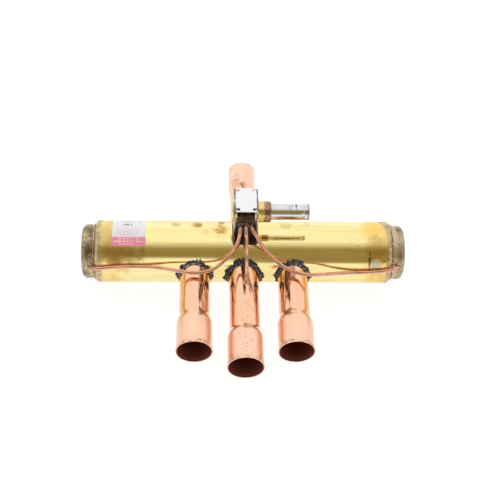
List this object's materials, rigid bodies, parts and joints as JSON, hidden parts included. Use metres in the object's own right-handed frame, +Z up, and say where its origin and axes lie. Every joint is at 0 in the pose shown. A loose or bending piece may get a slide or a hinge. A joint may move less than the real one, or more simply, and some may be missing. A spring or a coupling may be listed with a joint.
{
  "type": "four-way reversing valve",
  "caption": "Heat pump reversing valve: brass slide body with brazed copper stubs and a bracketed pilot valve with capillary tubes.",
  "frame": {"origin": "where the main body tube's axis meets the axis shared by the suction and discharge stubs, which is also the middle of the pair of saddles that carries the body", "axes": "+X along the main body towards the pilot stem's closed end, -Y out of the three neighbouring stubs, +Y out of the discharge stub, +Z up to the pilot valve"},
  "size_m": [0.295, 0.231, 0.1008],
  "materials": {
    "body_brass": "polished, heat tinted near the ends",
    "cap_brass": "oxidised and speckled",
    "copper": "polished copper, satin on the swaged sockets",
    "capillary_copper": "drawn copper, slightly dulled",
    "burnt_braze": "scaled and ragged from brazing",
    "braze_metal": "bright solidified braze",
    "bracket_steel": "zinc plated sheet",
    "pilot_brass": "turned, heat tinted",
    "burnt_brass": "scorched dark",
    "stainless": "drawn and bright",
    "core_iron": "turned magnetic stainless",
    "slider_nylon": "moulded, slightly shiny",
    "spring_steel": "bright spring steel",
    "seal_ptfe": "filled low-friction plastic",
    "seat_brass": "machined",
    "label_film": "coated paper with blank bars"
  },
  "bodies": {
    "valve_body": {"main_body_tube": "body_brass", "left_end_cap": "cap_brass", "right_end_cap": "cap_brass", "left_cap_braze": "braze_metal", "right_cap_braze": "braze_metal", "port_seat": "seat_brass", "suction_stub": "copper", "left_port_stub": "copper", "right_port_stub": "copper", "discharge_stub": "copper", "suction_root_braze": "burnt_braze", "left_root_braze": "burnt_braze", "right_root_braze": "burnt_braze", "discharge_root_braze": "burnt_braze", "pilot_bracket": "bracket_steel", "bracket_foot": "burnt_braze", "foot_braze": "burnt_braze", "pilot_body": "pilot_brass", "pilot_end_plug": "pilot_brass", "pilot_seat": "burnt_brass", "pilot_stem": "stainless", "fixed_core": "core_iron", "shading_ring": "copper", "pilot_return_spring": "spring_steel", "left_capillary": "capillary_copper", "right_capillary": "capillary_copper", "suction_capillary": "capillary_copper", "discharge_capillary": "capillary_copper", "left_tap_braze": "braze_metal", "right_tap_braze": "braze_metal", "suction_tap_braze": "braze_metal", "discharge_tap_braze": "braze_metal", "rating_label": "label_film"},
    "main_slide": {"main_slider": "slider_nylon", "slide_bracket": "bracket_steel", "left_piston_disc": "seat_brass", "left_piston_seal": "seal_ptfe", "left_piston_spring": "spring_steel", "left_piston_clamp": "seat_brass", "left_piston_screws": "spring_steel", "left_piston_stop": "seat_brass", "right_piston_disc": "seat_brass", "right_piston_seal": "seal_ptfe", "right_piston_spring": "spring_steel", "right_piston_clamp": "seat_brass", "right_piston_screws": "spring_steel", "right_piston_stop": "seat_brass"},
    "pilot_slide": {"pilot_plunger": "core_iron", "slider_carrier": "pilot_brass", "pilot_slider": "slider_nylon", "pilot_leaf_spring": "spring_steel"}
  },
  "joints": [
    {"name": "main_slide_shift", "type": "slide", "parent": "valve_body", "child": "main_slide", "axis": [1, 0, 0], "range_m": [0, 0.04445]},
    {"name": "pilot_plunger_pull", "type": "slide", "parent": "valve_body", "child": "pilot_slide", "axis": [1, 0, 0], "range_m": [0, 0.003], "stiffness_N_per_m": 500, "springref_m": -0.004, "deforming": ["pilot_return_spring"]}
  ]
}
